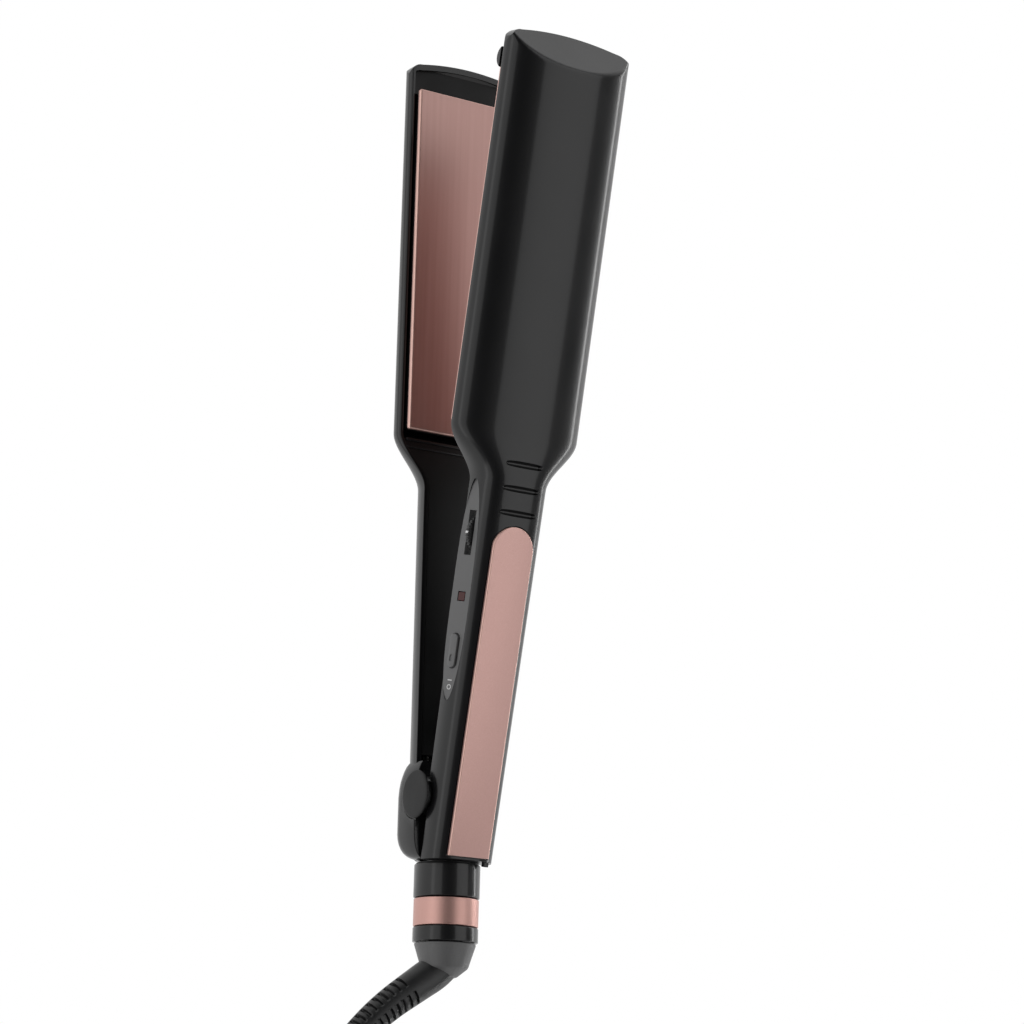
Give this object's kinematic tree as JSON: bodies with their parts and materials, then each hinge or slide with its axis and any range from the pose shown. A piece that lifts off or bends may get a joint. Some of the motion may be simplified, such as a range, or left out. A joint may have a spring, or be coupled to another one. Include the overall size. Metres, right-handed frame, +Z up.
{
  "type": "flat iron",
  "caption": "Hair straightening iron with two hinged arms, wide heating plates, side controls, a swivelling cord and a two-blade plug.",
  "frame": {"origin": "the middle of the iron's footprint without its cord, on the surface that the lower arm lies on", "axes": "-X from the hinge to the tips of the arms, +Z up from the lower arm to the upper arm, -Y towards the side with the controls"},
  "size_m": [0.5385, 0.0654, 0.069],
  "materials": {
    "black_gloss": "smooth, satin to glossy black",
    "black_matte": "fine matt black",
    "rose_satin": "satin metallic rose",
    "rose_plate": "brushed, with a rose ceramic coat",
    "ceramic": "white ceramic",
    "mica": "pressed mica",
    "silicone": "red-brown silicone",
    "steel": "zinc plated",
    "wire_sheath": "woven glass sheath",
    "cord_black": "satin black PVC",
    "brass": "plated",
    "red_lens": "dark red, clear",
    "board_green": "green solder mask",
    "grey_plastic": "dark grey",
    "capacitor_yellow": "yellow film capacitor"
  },
  "bodies": {
    "lower_arm": {"lower_shell": "black_gloss", "lower_inlay": "rose_satin", "lower_plate": "rose_plate", "lower_plate_carrier": "black_matte", "lower_heater": "ceramic", "lower_mica_sheet": "mica", "lower_plate_pad_1": "silicone", "lower_plate_pad_2": "silicone", "lower_liner": "black_matte", "lower_screw_1": "steel", "lower_screw_2": "steel", "hinge_pin": "steel", "hinge_cap_front": "black_gloss", "hinge_cap_back": "black_gloss", "hinge_spring": "steel", "collar_sleeve": "black_matte", "collar_ring": "rose_satin", "collar_end_ring": "black_matte", "power_wire_1": "wire_sheath", "power_wire_2": "wire_sheath", "cord": "cord_black", "cord_tail": "cord_black", "cord_hank": "cord_black", "cord_tie": "black_matte", "plug_body": "cord_black", "plug_blade_a": "brass", "plug_blade_b": "brass"},
    "upper_arm": {"upper_shell": "black_gloss", "upper_inlay": "rose_satin", "upper_plate": "rose_plate", "upper_plate_carrier": "black_matte", "upper_heater": "ceramic", "upper_mica_sheet": "mica", "upper_plate_pad_1": "silicone", "upper_plate_pad_2": "silicone", "upper_liner": "black_matte", "upper_screw_1": "steel", "upper_screw_2": "steel", "hinge_bracket": "steel", "align_tab_front": "black_gloss", "align_tab_back": "black_gloss", "control_panel": "black_matte", "indicator_lens": "red_lens", "indicator_led": "red_lens", "circuit_board": "board_green", "dial_potentiometer": "grey_plastic", "power_switch": "grey_plastic", "mains_capacitor": "capacitor_yellow", "thermostat": "steel"},
    "dial": {"temperature_dial": "black_matte"},
    "button": {"power_button": "grey_plastic"},
    "swivel": {"swivel_cone": "black_matte", "strain_relief": "cord_black"}
  },
  "joints": [
    {"name": "arm_hinge", "type": "hinge", "parent": "lower_arm", "child": "upper_arm", "pos_m": [0.085, 0, 0.0134], "axis": [0, 1, 0], "range_deg": [-11.8, 0], "stiffness_Nm_per_rad": 0.6, "springref_deg": 34.38},
    {"name": "dial_turn", "type": "hinge", "parent": "upper_arm", "child": "dial", "pos_m": [0.01258, -0.0049, 0.03453], "axis": [0.2028, 0, 0.9792], "range_deg": [-135, 135]},
    {"name": "button_press", "type": "slide", "parent": "upper_arm", "child": "button", "axis": [-0.0627, 0.9511, -0.3026], "range_m": [0, 0.001], "stiffness_N_per_m": 600, "springref_m": -0.0005},
    {"name": "cord_swivel", "type": "hinge", "parent": "lower_arm", "child": "swivel", "pos_m": [0.1305, 0, 0.01083], "axis": [1, 0, 0], "continuous": true}
  ]
}
